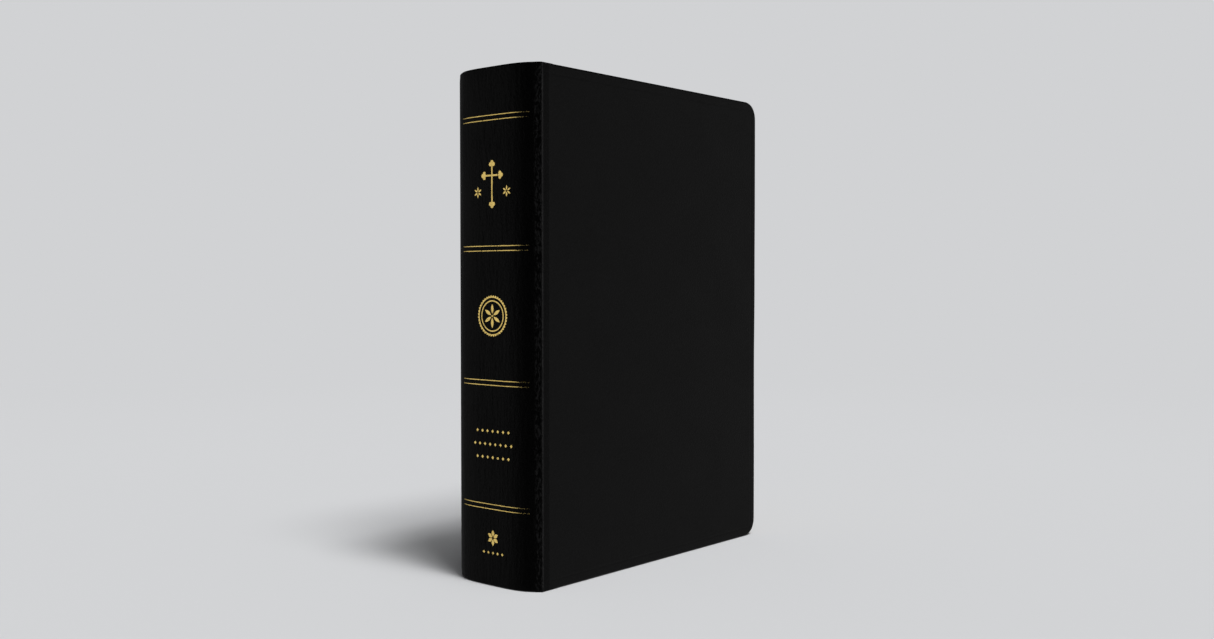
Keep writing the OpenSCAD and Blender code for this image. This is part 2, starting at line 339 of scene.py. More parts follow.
def swept_skin(name, columns, materials):
    """A closed strip of leather that follows the plan through the given distances."""
    bm = bmesh.new()
    loops = []
    for s in columns:
        t = skin_thickness(s)
        x, y, nx, ny = plan(s)
        rows = face_rows(t)
        loop = []
        for z, d in rows:
            depth = outer_depth(s, z, d, t)
            loop.append(bm.verts.new((x - nx * depth, y - ny * depth, z)))
        for z, d in reversed(rows):
            loop.append(bm.verts.new((*inner_plan(s, t - d), z)))
        loops.append(loop)
    loft(bm, loops)
    return finish_mesh(name, bm, materials)


def spine_columns():
    """Close together at the crown, where the leather folds, and close enough elsewhere for its creases."""
    return mirrored(spread(0, CROWN_BEND, 0.18 * MM)[:-1] + spread(CROWN_BEND, S_CUT, 0.4 * MM))


def shoulder_columns(side):
    """From the spine's cut to the middle of the joint."""
    s_end = S_FLAT + X_CUT - FLAT_X
    return [side * s for s in spread(S_CUT, s_end, 0.3 * MM)]


def cover_columns():
    """The cover's columns from the middle of the joint, up to its rim at the fore edge."""
    bend_end = BOARD + JOINT_BEND + 1 * MM
    return spread(X_CUT, bend_end, 0.35 * MM)[:-1] + spread(bend_end, FORE - RIM[-1], 1.8 * MM)


def cover_ring(e, columns):
    """The (x, z) points of a line e in from the cover's tail, fore edge and head."""
    r = max(CORNER - e, 0.0)
    at = max(CORNER, e)
    tail = [(x, e) for x in columns]
    low = [(FORE - at + r * math.sin(a), at - r * math.cos(a)) for a in quarter(8)]
    fore = [(FORE - e, z) for z in ROWS]
    high = [(x, HEAD - z) for x, z in reversed(low)]
    return tail + low + fore + high + [(x, HEAD - e) for x in reversed(columns)]


def cover_skin(name, side, materials):
    """The cover: leather over its board, with a rounded rim and round corners at the fore edge."""
    bm = bmesh.new()
    columns = cover_columns()

    def place(x, z, depth, outer):
        s = flat_s(side, x)
        t = skin_thickness(s)
        depth = outer_depth(s, z, depth, t) if outer else t - depth
        x -= edge_wave(z) * smooth(FORE - 40 * MM, FORE, x)
        return bm.verts.new((x, side * (HALF - depth), z))

    def rim_ring(step, outer):
        points = []
        nominal = rim_arc(COVER_T)[step]
        for x, z in cover_ring(nominal[0], columns):
            e, depth = rim_arc(skin_thickness(flat_s(side, x)))[step]
            if x <= FORE - CORNER:
                z = e if z < HEAD / 2 else HEAD - e
            points.append(place(x, z, depth, outer))
        return points

    rings = [[place(x, z, 0, True) for x, z in cover_ring(e, columns)] for e in reversed(RIM)]
    rings += [rim_ring(step, True) for step in reversed(range(ROUND_STEPS))]
    rings += [rim_ring(step, False) for step in range(ROUND_STEPS)]
    rings += [[place(x, z, 0, False) for x, z in cover_ring(e, columns)] for e in RIM]
    bridge(bm, rings, closed=False)
    for outer in (True, False):
        bridge(bm, [[place(x, z, 0, outer) for z in ROWS] for x in columns], closed=False)
    bmesh.ops.remove_doubles(bm, verts=bm.verts, dist=1e-6)
    bmesh.ops.dissolve_degenerate(bm, edges=bm.edges, dist=1e-7)
    open_edges = [e for e in bm.edges if e.is_boundary]
    bmesh.ops.holes_fill(bm, edges=open_edges, sides=0)
    return finish_mesh(name, bm, materials)


def line_inside(obj, side):
    """Gives the inner face of a joint the endpaper's material, its second one."""
    for polygon in obj.data.polygons:
        inward = polygon.normal.y * side < -0.7
        clear = 4 * MM < polygon.center.z < HEAD - 4 * MM
        if inward and clear and polygon.center.x > SHOULDER - 1 * MM:
            polygon.material_index = 1


# ---------- boards and endpapers ----------

def rounded_end(x0, x1, z0, z1, r):
    """A sheet's outline in x and z, with two round corners at its fore edge."""
    low = [(x1 - r + r * math.sin(a), z0 + r - r * math.cos(a)) for a in quarter(8)]
    high = [(x, z0 + z1 - z) for x, z in reversed(low)]
    return [(x0, z0)] + low + high + [(x0, z1)]


def cover_board(name, node, material):
    """The flexible board, with softened edges, which starts clear of the fold in the leather round it."""
    low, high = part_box(node)
    soft = 0.2 * (high.y - low.y)
    bm = bmesh.new()
    rings = []
    corner = CORNER - (FORE - high.x)
    for y, e in ((low.y, soft), (low.y + soft, 0.0), (high.y - soft, 0.0), (high.y, soft)):
        outline = rounded_end(BOARD + JOINT_BEND + e, high.x - e, low.z + e, high.z - e, corner - e)
        rings.append([bm.verts.new((x, y, z)) for x, z in outline])
    loft(bm, rings)
    return finish_mesh(name, bm, [material])


def pastedown(name, side, material):
    """The endpaper glued inside the cover, from the middle of the joint to just inside the cover's edge."""
    margin = 4 * MM
    x_end = FORE - margin
    r = CORNER - margin
    bend_end = BOARD + 3 * MM
    columns = spread(X_CUT, bend_end, 0.4 * MM)[:-1] + spread(bend_end, x_end - r, 3 * MM)
    columns += [x_end - r + r * math.sin(a) for a in quarter(8)[1:]]
    bm = bmesh.new()
    loops = []
    for x in columns:
        into = max(0.0, x - (x_end - r))
        low = margin + r - math.sqrt(max(0.0, r * r - into * into))
        rows = spread(low, HEAD - low, (HEAD - 2 * low) / 60)
        depth = skin_thickness(flat_s(side, x))
        under = [bm.verts.new((x, side * (HALF - depth), z)) for z in rows]
        over = [bm.verts.new((x, side * (HALF - depth - PASTEDOWN_T), z)) for z in reversed(rows)]
        loops.append(under + over)
    loft(bm, loops)
    return finish_mesh(name, bm, [material])


# ---------- spine linings and bands ----------

def arc_layer(name, thickness, material):
    """A continuous layer behind the leather in place of the two CAD nodes of that name."""
    low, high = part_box("back_" + name)
    outer = ARC_X - low.x
    reach = math.asin(high.y / outer)
    bend = CROWN_BEND / outer
    rows = spread(low.z, high.z, 8 * MM)
    bm = bmesh.new()
    loops = []
    for a in mirrored(spread(0, bend, bend / 8)[:-1] + spread(bend, reach, 0.02)):
        loop = []
        for radius, column in ((outer, rows), (outer - thickness, rows[::-1])):
            x, y = ARC_X - radius * math.cos(a), radius * math.sin(a)
            loop += [bm.verts.new((x, y, z)) for z in column]
        loops.append(loop)
    loft(bm, loops)
    return finish_mesh(name, bm, [material])


def wound_band(name, at_head, materials):
    """A head or tail band: a core wound with two colours of silk, standing past the pages."""
    low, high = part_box("back_" + name)
    page_edge = PAGE_HIGH.z if at_head else PAGE_LOW.z
    rise = (high.z - page_edge) if at_head else (page_edge - low.z)
    centre_z = page_edge + (0.45 if at_head else -0.45) * rise
    orbit = ARC_X - low.x - 1.45 * MM
    core = 0.78 * MM
    winding = 1.15 * MM
    step = 0.12 * MM / orbit
    bend = CROWN_BEND / orbit
    around = 20
    bm = bmesh.new()
    loops = []
    for a in mirrored(spread(0, bend, step)[:-1] + spread(bend, high.y / orbit, step)):
        loop = []
        for k in range(around):
            b = 2 * math.pi * k / around
            phase = a * orbit / winding + 0.35 * math.cos(b)
            ridge = core * (1 + 0.1 * abs(math.sin(math.pi * phase * 3)))
            radius = orbit + 1.15 * ridge * math.cos(b)
            z = centre_z + ridge * math.sin(b)
            loop.append(bm.verts.new((ARC_X - radius * math.cos(a), radius * math.sin(a), z)))
        loops.append(loop)
    loft(bm, loops)
    obj = finish_mesh(name, bm, materials)
    for polygon in obj.data.polygons:
        c = polygon.center
        turn = math.atan2(c.y, ARC_X - c.x) * orbit / winding
        polygon.material_index = math.floor(turn) % 2
    return obj


# ---------- gilding ----------

# How far the design's middle lies from the crown, and how far the foil stands off the leather
GILT_CENTRE = -1.2 * MM
GILT_RISE = 0.03 * MM

# Where the foil's mesh is cut so that it can bend, in mm: every half, and closer at the crown
FOIL_CUTS = spread(-28, 28, 0.5) + spread(-1.6, 1.6, 0.1)

RULE_HEIGHTS = [z * MM for z in (37, 94.5, 156.5, 216.5)]
RULE_HALF_LENGTH = 21.2 * MM
RULE_WIDTH = 0.34 * MM
RULE_SPACING = 2.2 * MM

CROSS_HEIGHT = 22 * MM
CROSS_Z = 186 * MM
FLOWER_Y = 9.3 * MM
FLOWER_Z = 182.5 * MM
SEAL_RADIUS = 9.5 * MM
SEAL_LINES = [r * MM for r in (8.45, 7.25, 6.7)]
SEAL_Z = 125.4 * MM
LOZENGE_ROWS = (7, 8, 7)
LOZENGE_TOP_Z = 72.1 * MM
LOZENGE_ROW_PITCH = 6.1 * MM
LOZENGE_PITCH = 3.35 * MM
MARK_Z = 22.5 * MM
MARK_ROW_Z = 15.5 * MM
MARK_ROW_PITCH = 3.0 * MM


def moved(points, y, z):
    return [(p[0] + y, p[1] + z) for p in points]


def turned(points, angle):
    c, s = math.cos(angle), math.sin(angle)
    return [(u * c - v * s, u * s + v * c) for u, v in points]


def circle(r, count=72):
    angles = [2 * math.pi * i / count for i in range(count)]
    return [(r * math.cos(a), r * math.sin(a)) for a in angles]


def budded_cross(height, stroke, bud):
    """One outline: a Latin cross whose arms end in trefoils."""
    reach = height / 2 - 2 * bud
    half_arm = 0.56 * reach
    crossing = reach - half_arm
    half = stroke / 2
    meet = math.asin((bud - half) / bud)
    start, end = -math.pi / 2 - meet, math.pi / 2
    lobes = [(bud, 0.0, start, end), (0.0, bud, 0.0, math.pi), (-bud, 0.0, end, math.pi - start)]
    points = []
    for quarter_turns, length in enumerate((half_arm, half_arm, crossing + reach, half_arm)):
        shape = [(half, half)]
        for cx, cy, a0, a1 in lobes:
            for i in range(9):
                a = a0 + (a1 - a0) * i / 8
                shape.append((cx + bud * math.cos(a), length + cy + bud * math.sin(a)))
        points += moved(turned(shape, quarter_turns * math.pi / 2), 0, crossing)
    return points


def scalloped(r, depth, count):
    """A ring seal's outer outline, with as many round scallops as count."""
    points = []
    steps = count * 10
    for i in range(steps):
        a = 2 * math.pi * i / steps
        out = r - depth + depth * abs(math.sin(a * count / 2)) ** 0.7
        points.append((out * math.cos(a), out * math.sin(a)))
    return points


def petal(length, width):
    """A leaf-shaped petal between two arcs, from near the centre outwards."""
    points = []
    for k in range(13):
        t = k / 12
        points.append((length * (0.14 + 0.86 * t), width * math.sin(math.pi * t)))
    return points + [(u, -v) for u, v in reversed(points[1:-1])]


def flower(radius, width, y, z):
    """Six petals round a point."""
    return [moved(turned(petal(radius, width), math.pi / 2 + i * math.pi / 3), y, z) for i in range(6)]


def lozenge_row(size, count, pitch, z):
    """Evenly spaced small squares that stand on their corners."""
    r = size / math.sqrt(2)
    one = [(-r, 0), (0, -r), (r, 0), (0, r)]
    return [moved(one, (i - (count - 1) / 2) * pitch, z) for i in range(count)]


def artwork(name, shapes, material):
    """Stamps flat outlines onto the spine's leather.

    An outline inside another one is a hole in it, and one inside the hole is filled again.
    """
    curve = bpy.data.curves.new(name + "_art", "CURVE")
    curve.dimensions = "2D"
    curve.fill_mode = "BOTH"
    for outline in shapes:
        spline = curve.splines.new("POLY")
        spline.points.add(len(outline) - 1)
        for point, (y, z) in zip(spline.points, outline):
            point.co = (y / MM, z / MM, 0, 1)
        spline.use_cyclic_u = True
    flat = bpy.data.objects.new(name + "_art", curve)
    bpy.context.scene.collection.objects.link(flat)
    depsgraph = bpy.context.evaluated_depsgraph_get()
    bm = bmesh.new()
    bm.from_mesh(flat.evaluated_get(depsgraph).to_mesh())
    bpy.data.objects.remove(flat)
    bpy.data.curves.remove(curve)
    bmesh.ops.remove_doubles(bm, verts=bm.verts, dist=1e-4)
    for cut in FOIL_CUTS:
        everything = bm.verts[:] + bm.edges[:] + bm.faces[:]
        bmesh.ops.bisect_plane(bm, geom=everything, plane_co=(cut, 0, 0), plane_no=(1, 0, 0))
    for v in bm.verts:
        s, z = v.co.x * MM, v.co.y * MM
        x, y, nx, ny = plan(s)
        depth = relief(s, z) - GILT_RISE
        v.co = (x - nx * depth, y - ny * depth, z)
    obj = finish_mesh(name, bm, [material], sharp=80)
    if sum(p.normal.x * p.area for p in obj.data.polygons) > 0:
        obj.data.flip_normals()
    return obj


def add_fade(obj, start, end):
    """How worn the foil is: none before start, most past end, measured along y towards the front."""
    fade = obj.data.attributes.new("fade", "FLOAT", "POINT")
    for i, v in enumerate(obj.data.vertices):
        fade.data[i].value = smooth(start, end, -v.co.y)


def gilt_rules(material):
    """Four pairs of thin rules, a little uneven in width, whose front ends wear away."""
    shapes = []
    for z in RULE_HEIGHTS:
        for offset in (-RULE_SPACING / 2, RULE_SPACING / 2):
            upper, lower = [], []
            for y in spread(GILT_CENTRE - RULE_HALF_LENGTH, GILT_CENTRE + RULE_HALF_LENGTH, 0.5 * MM):
                wobble = 0.05 * MM * noise.noise(Vector((y * 700, z * 90, offset * 3e3)))
                body = RULE_WIDTH / 2 * (1 + 0.25 * noise.noise(Vector((y * 450, offset * 5e3, z * 50))))
                upper.append((y, z + offset + wobble + body))
                lower.append((y, z + offset + wobble - body))
            shapes.append(lower + upper[::-1])
    obj = artwork("gilt_rules", shapes, material)
    add_fade(obj, 12.5 * MM, 20.5 * MM)
    return obj


def gilt_ornaments(material):
    """A cross between two flowers, a scalloped seal, three rows of lozenges and a small flower."""
    shapes = [moved(budded_cross(CROSS_HEIGHT, 0.8 * MM, 0.95 * MM), 0, CROSS_Z)]
    for y in (-FLOWER_Y, FLOWER_Y):
        shapes += flower(2.6 * MM, 0.42 * MM, y, FLOWER_Z)
    rings = [scalloped(SEAL_RADIUS, 0.75 * MM, 40)] + [circle(r) for r in SEAL_LINES]
    shapes += [moved(points, 0, SEAL_Z) for points in rings]
    shapes += flower(5.6 * MM, 0.8 * MM, 0, SEAL_Z)
    shapes.append(moved(circle(0.5 * MM, 24), 0, SEAL_Z))
    for row, count in enumerate(LOZENGE_ROWS):
        shapes += lozenge_row(1.1 * MM, count, LOZENGE_PITCH, LOZENGE_TOP_Z - LOZENGE_ROW_PITCH * row)
    shapes += flower(3.7 * MM, 0.85 * MM, 0, MARK_Z)
    shapes += lozenge_row(1.0 * MM, 5, MARK_ROW_PITCH, MARK_ROW_Z)
    obj = artwork("gilt_ornaments", [moved(points, GILT_CENTRE, 0) for points in shapes], material)
    add_fade(obj, 40 * MM, 50 * MM)
    return obj


# ---------- pages ----------

def leaf_outline(y, shift, trim):
    """One leaf's outline in x and z. shift moves its fore edge, trim its head and tail."""
    x0 = ARC_X - math.sqrt(FOLD_RADIUS ** 2 - y * y) + 0.05 * MM
    x1 = x0 + PAGE_WIDTH - 0.1 * MM + shift
    z0, z1 = PAGE_LOW.z + trim, PAGE_HIGH.z - trim
    r = PAGE_CORNER
    turn = quarter(6)
    points = [(x0, z0), (x0 + 0.5 * (x1 - x0), z0)]
    points += [(x1 - r + r * math.sin(a), z0 + r - r * math.cos(a)) for a in turn]
    points += [(x1, 0.75 * z0 + 0.25 * z1), (x1, 0.5 * (z0 + z1)), (x1, 0.25 * z0 + 0.75 * z1)]
    points += [(x1 - r + r * math.cos(a), z1 - r + r * math.sin(a)) for a in turn]
    return points + [(x0 + 0.5 * (x1 - x0), z1), (x0, z1)]


def page_stack(name, y_from, y_to, count, materials, seed):
    """A stack of leaves, trimmed together, whose edges stand a hair in or out of each other."""
    draw = random.Random(seed)
    bm = bmesh.new()
    rings = []
    for i in range(count):
        group = 0.05 * MM * math.sin(i * 0.9 + seed)
        shift = -abs(draw.gauss(0, 0.045 * MM) + group)
        trim = abs(draw.gauss(0, 0.03 * MM) + 0.5 * group)
        low = y_from + (y_to - y_from) * i / count
        high = y_from + (y_to - y_from) * (i + 1) / count
        outline = leaf_outline((low + high) / 2, shift, trim)
        for y in (low, high):
            rings.append([bm.verts.new((x, y, z)) for x, z in outline])
    loft(bm, rings)
    obj = finish_mesh(name, bm, materials, sharp=35)
    for polygon in obj.data.polygons:
        page_face = abs(polygon.normal.y) > 0.7 and len(polygon.vertices) > 4
        at_fold = polygon.normal.x < -0.7
        polygon.material_index = 0 if page_face or at_fold else 1
    return obj


# ---------- materials ----------

def add(tree, kind, inputs=None, **settings):
    """Adds a shader node, sets its options and its inputs, and links those that are sockets."""
    node = tree.nodes.new("ShaderNode" + kind)
    for key, value in settings.items():
        setattr(node, key, value)
    for key, value in (inputs or {}).items():
        if isinstance(value, bpy.types.NodeSocket):
            tree.links.new(value, node.inputs[key])
        else:
            node.inputs[key].default_value = value
    return node


def begin(name, colour, roughness, **sockets):
    """A material with one Principled shader, whose constants sit on its own sockets."""
    material = bpy.data.materials.new(name)
    material.use_nodes = True
    tree = material.node_tree
    shader = tree.nodes["Principled BSDF"]
    shader.inputs["Base Color"].default_value = (*colour, 1)
    shader.inputs["Roughness"].default_value = roughness
    for key, value in sockets.items():
        shader.inputs[key.replace("_", " ")].default_value = value
    material.diffuse_color = (*colour, 1)
    return material, tree, shader


def stretched(tree, vector, scale):
    return add(tree, "VectorMath", {0: vector, 1: scale}, operation="MULTIPLY").outputs["Vector"]


def rest_place(tree, scale=(1, 1, 1)):
    """The rest place in mm, stretched, as a vector to lay a pattern on."""
    return stretched(tree, add(tree, "Attribute", attribute_name="rest_mm").outputs["Vector"], scale)


def object_place(tree, scale=(1000, 1000, 1000)):
    """The same for a CAD node, which has no stored rest place."""
    return stretched(tree, add(tree, "TexCoord").outputs["Object"], scale)


def pattern(tree, vector, scale, detail=2.0, roughness=0.5):
    """Soft noise from 0 to 1."""
    return add(tree, "TexNoise", {"Vector": vector, "Scale": scale, "Detail": detail,
                                  "Roughness": roughness}).outputs["Fac"]


def ramp(tree, value, low, high, to_low=0.0, to_high=1.0, **settings):
    """The value's place between low and high, brought between to_low and to_high."""
    return add(tree, "MapRange", {"Value": value, "From Min": low, "From Max": high,
                                  "To Min": to_low, "To Max": to_high}, **settings).outputs["Result"]


def math_node(tree, operation, a, b):
    return add(tree, "Math", {0: a, 1: b}, operation=operation).outputs["Value"]


def mix_colour(tree, factor, a, b):
    """A mix of two colours, each of them a socket or three numbers."""
    first, second = (c if isinstance(c, bpy.types.NodeSocket) else (*c, 1) for c in (a, b))
    return add(tree, "Mix", {0: factor, 6: first, 7: second}, data_type="RGBA").outputs[2]


def bumped(tree, shader, height, distance, strength=1.0):
    bump = add(tree, "Bump", {"Height": height, "Distance": distance, "Strength": strength})
    tree.links.new(bump.outputs["Normal"], shader.inputs["Normal"])


def ridge_polish_and_highlight(tree, place, curl):
    """The spine's ridge, as two masks: a painted highlight, a pale colour along its very edge and on the
    small folds beside it, and the smoother leather along that edge, which also places the highlight.
    """
    along, across = add(tree, "SeparateXYZ", {"Vector": place}).outputs[:2]
    ridge = FLAT_X / MM
    small_folds = stretched(tree, curl, (1.0, 1.4, 0.45))
    beside = ramp(tree, math_node(tree, "ABSOLUTE", across, 0.0), 23.6, 24.6)
    beside = math_node(tree, "MULTIPLY", beside, ramp(tree, along, ridge - 0.9, ridge - 0.6, 1.0, 0.0))
    # Painted highlight: the small folds beside the ridge get a paler colour, where they would catch light.
    wrinkle_highlight = math_node(tree, "MULTIPLY", ramp(tree, pattern(tree, small_folds, 1.0), 0.47, 0.62), beside)
    polish_and_highlight = ramp(tree, along, ridge - 1.0, ridge - 0.6)
    polish_and_highlight = math_node(tree, "MULTIPLY", polish_and_highlight, ramp(tree, along, ridge, ridge + 0.3, 1.0, 0.0))
    uneven = ramp(tree, pattern(tree, small_folds, 0.6), 0.35, 0.6, 0.45, 1.0)
    # The painted highlight's mask: those folds and an uneven line along the very edge.
    worn = math_node(tree, "MAXIMUM", wrinkle_highlight, math_node(tree, "MULTIPLY", polish_and_highlight, uneven))
    return worn, polish_and_highlight


def leather_material(name, dark, light, crease_share, gloss, highlight_colour=None):
    """Fine pebbled leather: small domed cells with pores and soft creases.

    The last argument is a paler colour painted along the spine's ridge and on the small folds beside it as a
    painted highlight, on leather that has such a ridge.
    """
    material, tree, shader = begin(name, dark, 0.5, Specular_IOR_Level=gloss)
    place = rest_place(tree)
    bend = add(tree, "TexNoise", {"Vector": place, "Scale": 0.55, "Detail": 2.0}).outputs["Color"]
    warped = add(tree, "VectorMath", {0: bend, 1: (0.9, 0.9, 0.9), 2: place},
                 operation="MULTIPLY_ADD").outputs["Vector"]
    curl = add(tree, "VectorMath", {0: bend, 1: (1.2, 1.2, 1.2), 2: warped},
               operation="MULTIPLY_ADD").outputs["Vector"]
    cells = add(tree, "TexVoronoi", {"Vector": warped, "Scale": 1.15, "Smoothness": 0.35},
                feature="SMOOTH_F1").outputs["Distance"]
    domes = ramp(tree, cells, 0.0, 0.75, 1.0, 0.0)
    fine = math_node(tree, "MULTIPLY", pattern(tree, place, 3.4, 3.0, 0.6), 0.4)
    grain = add(tree, "Math", {0: domes, 1: 0.6, 2: fine}, operation="MULTIPLY_ADD").outputs["Value"]
    folds = pattern(tree, stretched(tree, curl, (0.45, 0.62, 0.09)), 1.0, 3.0, 0.62)
    height = add(tree, "Math", {0: ramp(tree, folds, 0.35, 0.65), 1: crease_share, 2: grain},
                 operation="MULTIPLY_ADD").outputs["Value"]
    bumped(tree, shader, height, 0.12 * MM)

    colour = mix_colour(tree, ramp(tree, grain, 0.25, 0.8), dark, light)
    patchy = ramp(tree, pattern(tree, place, 0.035, 2.0), 0.3, 0.7, 0.33, 0.4)
    rough = math_node(tree, "ADD", patchy, ramp(tree, grain, 0.2, 0.9, 0.1, 0.0))
    # On the spine's leather: a paler colour painted along the ridge's edge and on the folds beside it, a
    # painted highlight; the edge is also made smoother.
    if highlight_colour:
        worn, polish_and_highlight = ridge_polish_and_highlight(tree, place, curl)
        colour = mix_colour(tree, worn, colour, highlight_colour)
        rough = math_node(tree, "SUBTRACT", rough, math_node(tree, "MULTIPLY", polish_and_highlight, 0.2))
    tree.links.new(colour, shader.inputs["Base Color"])
    tree.links.new(rough, shader.inputs["Roughness"])
    return material


def gilt_material():
    """Gold foil stamped into leather, thin in places and worn away towards the faded ends."""
    gold, deep_gold, bare = (1.0, 0.76, 0.25), (0.8, 0.55, 0.14), (0.002, 0.002, 0.002)
    material, tree, shader = begin("gilt_foil", gold, 0.3, Specular_IOR_Level=0.3)
    place = rest_place(tree)
    fade = add(tree, "Attribute", attribute_name="fade").outputs["Fac"]
    specks = pattern(tree, place, 2.6, 4.0, 0.7)
    worn_below = ramp(tree, fade, 0.0, 1.0, 0.33, 0.56)
    kept = ramp(tree, math_node(tree, "SUBTRACT", specks, worn_below), -0.015, 0.02)
    warm = mix_colour(tree, pattern(tree, place, 0.4, 2.0), deep_gold, gold)
    tree.links.new(mix_colour(tree, kept, bare, warm), shader.inputs["Base Color"])
    tree.links.new(math_node(tree, "MULTIPLY", kept, 0.75), shader.inputs["Metallic"])
    tree.links.new(ramp(tree, specks, 0.3, 0.7, 0.34, 0.2), shader.inputs["Roughness"])
    bumped(tree, shader, pattern(tree, place, 2.2, 2.0), 0.03 * MM)
    return material


def gilt_edge_material():
    """The book's trimmed edges under burnished gold, where every few leaves show as a line."""
    material, tree, shader = begin("gilt_page_edges", (0.83, 0.6, 0.25), 0.34, Metallic=0.85)
    lines = pattern(tree, rest_place(tree, (0.012, 7.0, 0.012)), 1.0, 3.0, 0.65)
    clouds = pattern(tree, rest_place(tree), 0.05, 3.0)
    shade = math_node(tree, "ADD", math_node(tree, "MULTIPLY", lines, 0.65),
                      math_node(tree, "MULTIPLY", clouds, 0.35))
    colour = mix_colour(tree, ramp(tree, shade, 0.3, 0.65), (0.42, 0.27, 0.08), (0.9, 0.66, 0.3))
    tree.links.new(colour, shader.inputs["Base Color"])
    tree.links.new(ramp(tree, lines, 0.3, 0.7, 0.46, 0.26), shader.inputs["Roughness"])
    bumped(tree, shader, lines, 0.04 * MM, 0.8)
    return material


def paper_material():
    """Thin cream paper with a faint cloudy formation and short fibres."""
    material, tree, shader = begin("page_paper", (0.78, 0.71, 0.57), 0.7, Specular_IOR_Level=0.25)
    clouds = pattern(tree, rest_place(tree), 0.12, 4.0, 0.6)
    fibres = pattern(tree, rest_place(tree, (1.6, 1.6, 0.4)), 2.0, 3.0)
    both = math_node(tree, "ADD", math_node(tree, "MULTIPLY", clouds, 0.7),
                     math_node(tree, "MULTIPLY", fibres, 0.3))
    colour = mix_colour(tree, ramp(tree, both, 0.3, 0.7), (0.7, 0.62, 0.48), (0.8, 0.735, 0.6))
    tree.links.new(colour, shader.inputs["Base Color"])
    bumped(tree, shader, both, 0.02 * MM)
    return material


def fibrous_material(name, dark, light, roughness, place_of, grain=1.2):
    """Board, kraft or endpaper: flecked by short fibres that lie every way."""
    material, tree, shader = begin(name, dark, roughness, Specular_IOR_Level=0.3)
    flecks = pattern(tree, place_of(tree), grain, 5.0, 0.7)
    colour = mix_colour(tree, ramp(tree, flecks, 0.32, 0.68), dark, light)
    tree.links.new(colour, shader.inputs["Base Color"])
    bumped(tree, shader, flecks, 0.03 * MM, 0.7)
    return material


def woven_material(name, dark, light, threads_per_mm, place_of):
    """Gauze or twisted thread: crossed waves make the weave."""
    material, tree, shader = begin(name, dark, 0.8, Sheen_Weight=0.3)
    waves = {"Vector": place_of(tree), "Scale": threads_per_mm, "Distortion": 0.6}
    across, along = (add(tree, "TexWave", waves, bands_direction=way).outputs["Fac"] for way in "YZ")
    weave = math_node(tree, "MAXIMUM", across, along)
    tree.links.new(mix_colour(tree, weave, dark, light), shader.inputs["Base Color"])
    bumped(tree, shader, weave, 0.08 * MM)
    return material


def silk_material(name, dark, light):
    """Floss silk: fine strands with a soft lustre."""
    material, tree, shader = begin(name, dark, 0.42, Sheen_Weight=0.5, Sheen_Roughness=0.3)
    strands = pattern(tree, rest_place(tree, (1.5, 9.0, 1.5)), 1.3, 2.0)
    colour = mix_colour(tree, ramp(tree, strands, 0.3, 0.7), dark, light)
    tree.links.new(colour, shader.inputs["Base Color"])
    bumped(tree, shader, strands, 0.05 * MM)
    return material


# ---------- the book ----------

def fibrous_pair(names, dark, light, roughness, grain=1.2):
    """One look twice: for new pieces, and for CAD nodes that keep their shape."""
    return [fibrous_material(name, dark, light, roughness, place_of, grain)
            for name, place_of in zip(names, (rest_place, object_place))]


def make_materials():
    """Every material of the book, by a short name."""
    made = {
        "cover_leather": leather_material(
            "cover_leather", (0.0006, 0.0006, 0.0006), (0.0016, 0.0016, 0.0017), 0.06, 0.08),
        # Painted shade: the spine's leather is the cover's leather in darker colours, so that the spine looks
        # shaded; its deeper creases are its own.
        "spine_leather": leather_material(
            "spine_leather", (0.0004, 0.0004, 0.0004), (0.0012, 0.0012, 0.0012), 0.9, 0.055,
            # The ridge's paler colour, a painted highlight.
            highlight_colour=(0.0085, 0.0085, 0.0085)),
        "foil": gilt_material(),
        "edges": gilt_edge_material(),
        "paper": paper_material(),
        "gauze": woven_material("mull_gauze", (0.45, 0.42, 0.34), (0.75, 0.72, 0.62), 0.9, rest_place),
        "thread": woven_material("linen_thread", (0.5, 0.46, 0.36), (0.8, 0.76, 0.64), 2.5, object_place),
        "black_silk": silk_material("black_silk", (0.008, 0.008, 0.009), (0.03, 0.03, 0.032)),
        "gold_silk": silk_material("gold_silk", (0.42, 0.27, 0.07), (0.68, 0.47, 0.16)),
    }
    made["endpaper"], made["flyleaf"] = fibrous_pair(
        ("endpaper", "endpaper_leaf"), (0.010, 0.010, 0.011), (0.022, 0.022, 0.023), 0.6)
    made["kraft"], made["filler"] = fibrous_pair(
        ("kraft_paper", "kraft_filler"), (0.28, 0.17, 0.08), (0.4, 0.26, 0.13), 0.85)
    made["board"], made["inlay"] = fibrous_pair(
        ("raw_board", "inlay_board"), (0.2, 0.17, 0.13), (0.33, 0.29, 0.23), 0.9, 0.8)
    return made


def dress_node(node, material):
    """Gives a CAD node that still shows its procedural material."""
    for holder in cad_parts[node].material_slots:
        holder.material = material


def carried(piece, body, slot, *nodes):
    """A piece that moves with one body, in place of CAD nodes."""
    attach(piece, body)
    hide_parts(*nodes)


def folded(piece, bodies, at, reach, slot, *nodes):
    """A piece whose place is baked into its mesh, in place of CAD nodes, which it hides."""
    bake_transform(piece)
    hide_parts(*nodes)


def build_spine(made):
    """The pieces across the spine, built at rest in place of the CAD's spine nodes."""
    silks = [made["black_silk"], made["gold_silk"]]
    pieces = (
        (swept_skin("spine_leather", spine_columns(), [made["spine_leather"]]), "spine_leather"),
        (gilt_rules(made["foil"]), "gilt"),
        (gilt_ornaments(made["foil"]), "gilt"),
        (arc_layer("spine_lining", 0.3 * MM, made["kraft"]), "kraft_paper"),
        (arc_layer("spine_mull", 0.2 * MM, made["gauze"]), "gauze"),
        (wound_band("head_band", True, silks), "band_silk"),
        (wound_band("tail_band", False, silks), "band_silk"),
    )
    crown = Vector((CROWN, 0, HEAD / 2))
    reach = Vector((0, CROWN_BEND, 0))
    for piece, slot in pieces:
        nodes = (f"{name}_{piece.name}" for name in SIDE_NAMES.values())
        folded(piece, ("front_half", "back_half"), crown, reach, slot, *nodes)


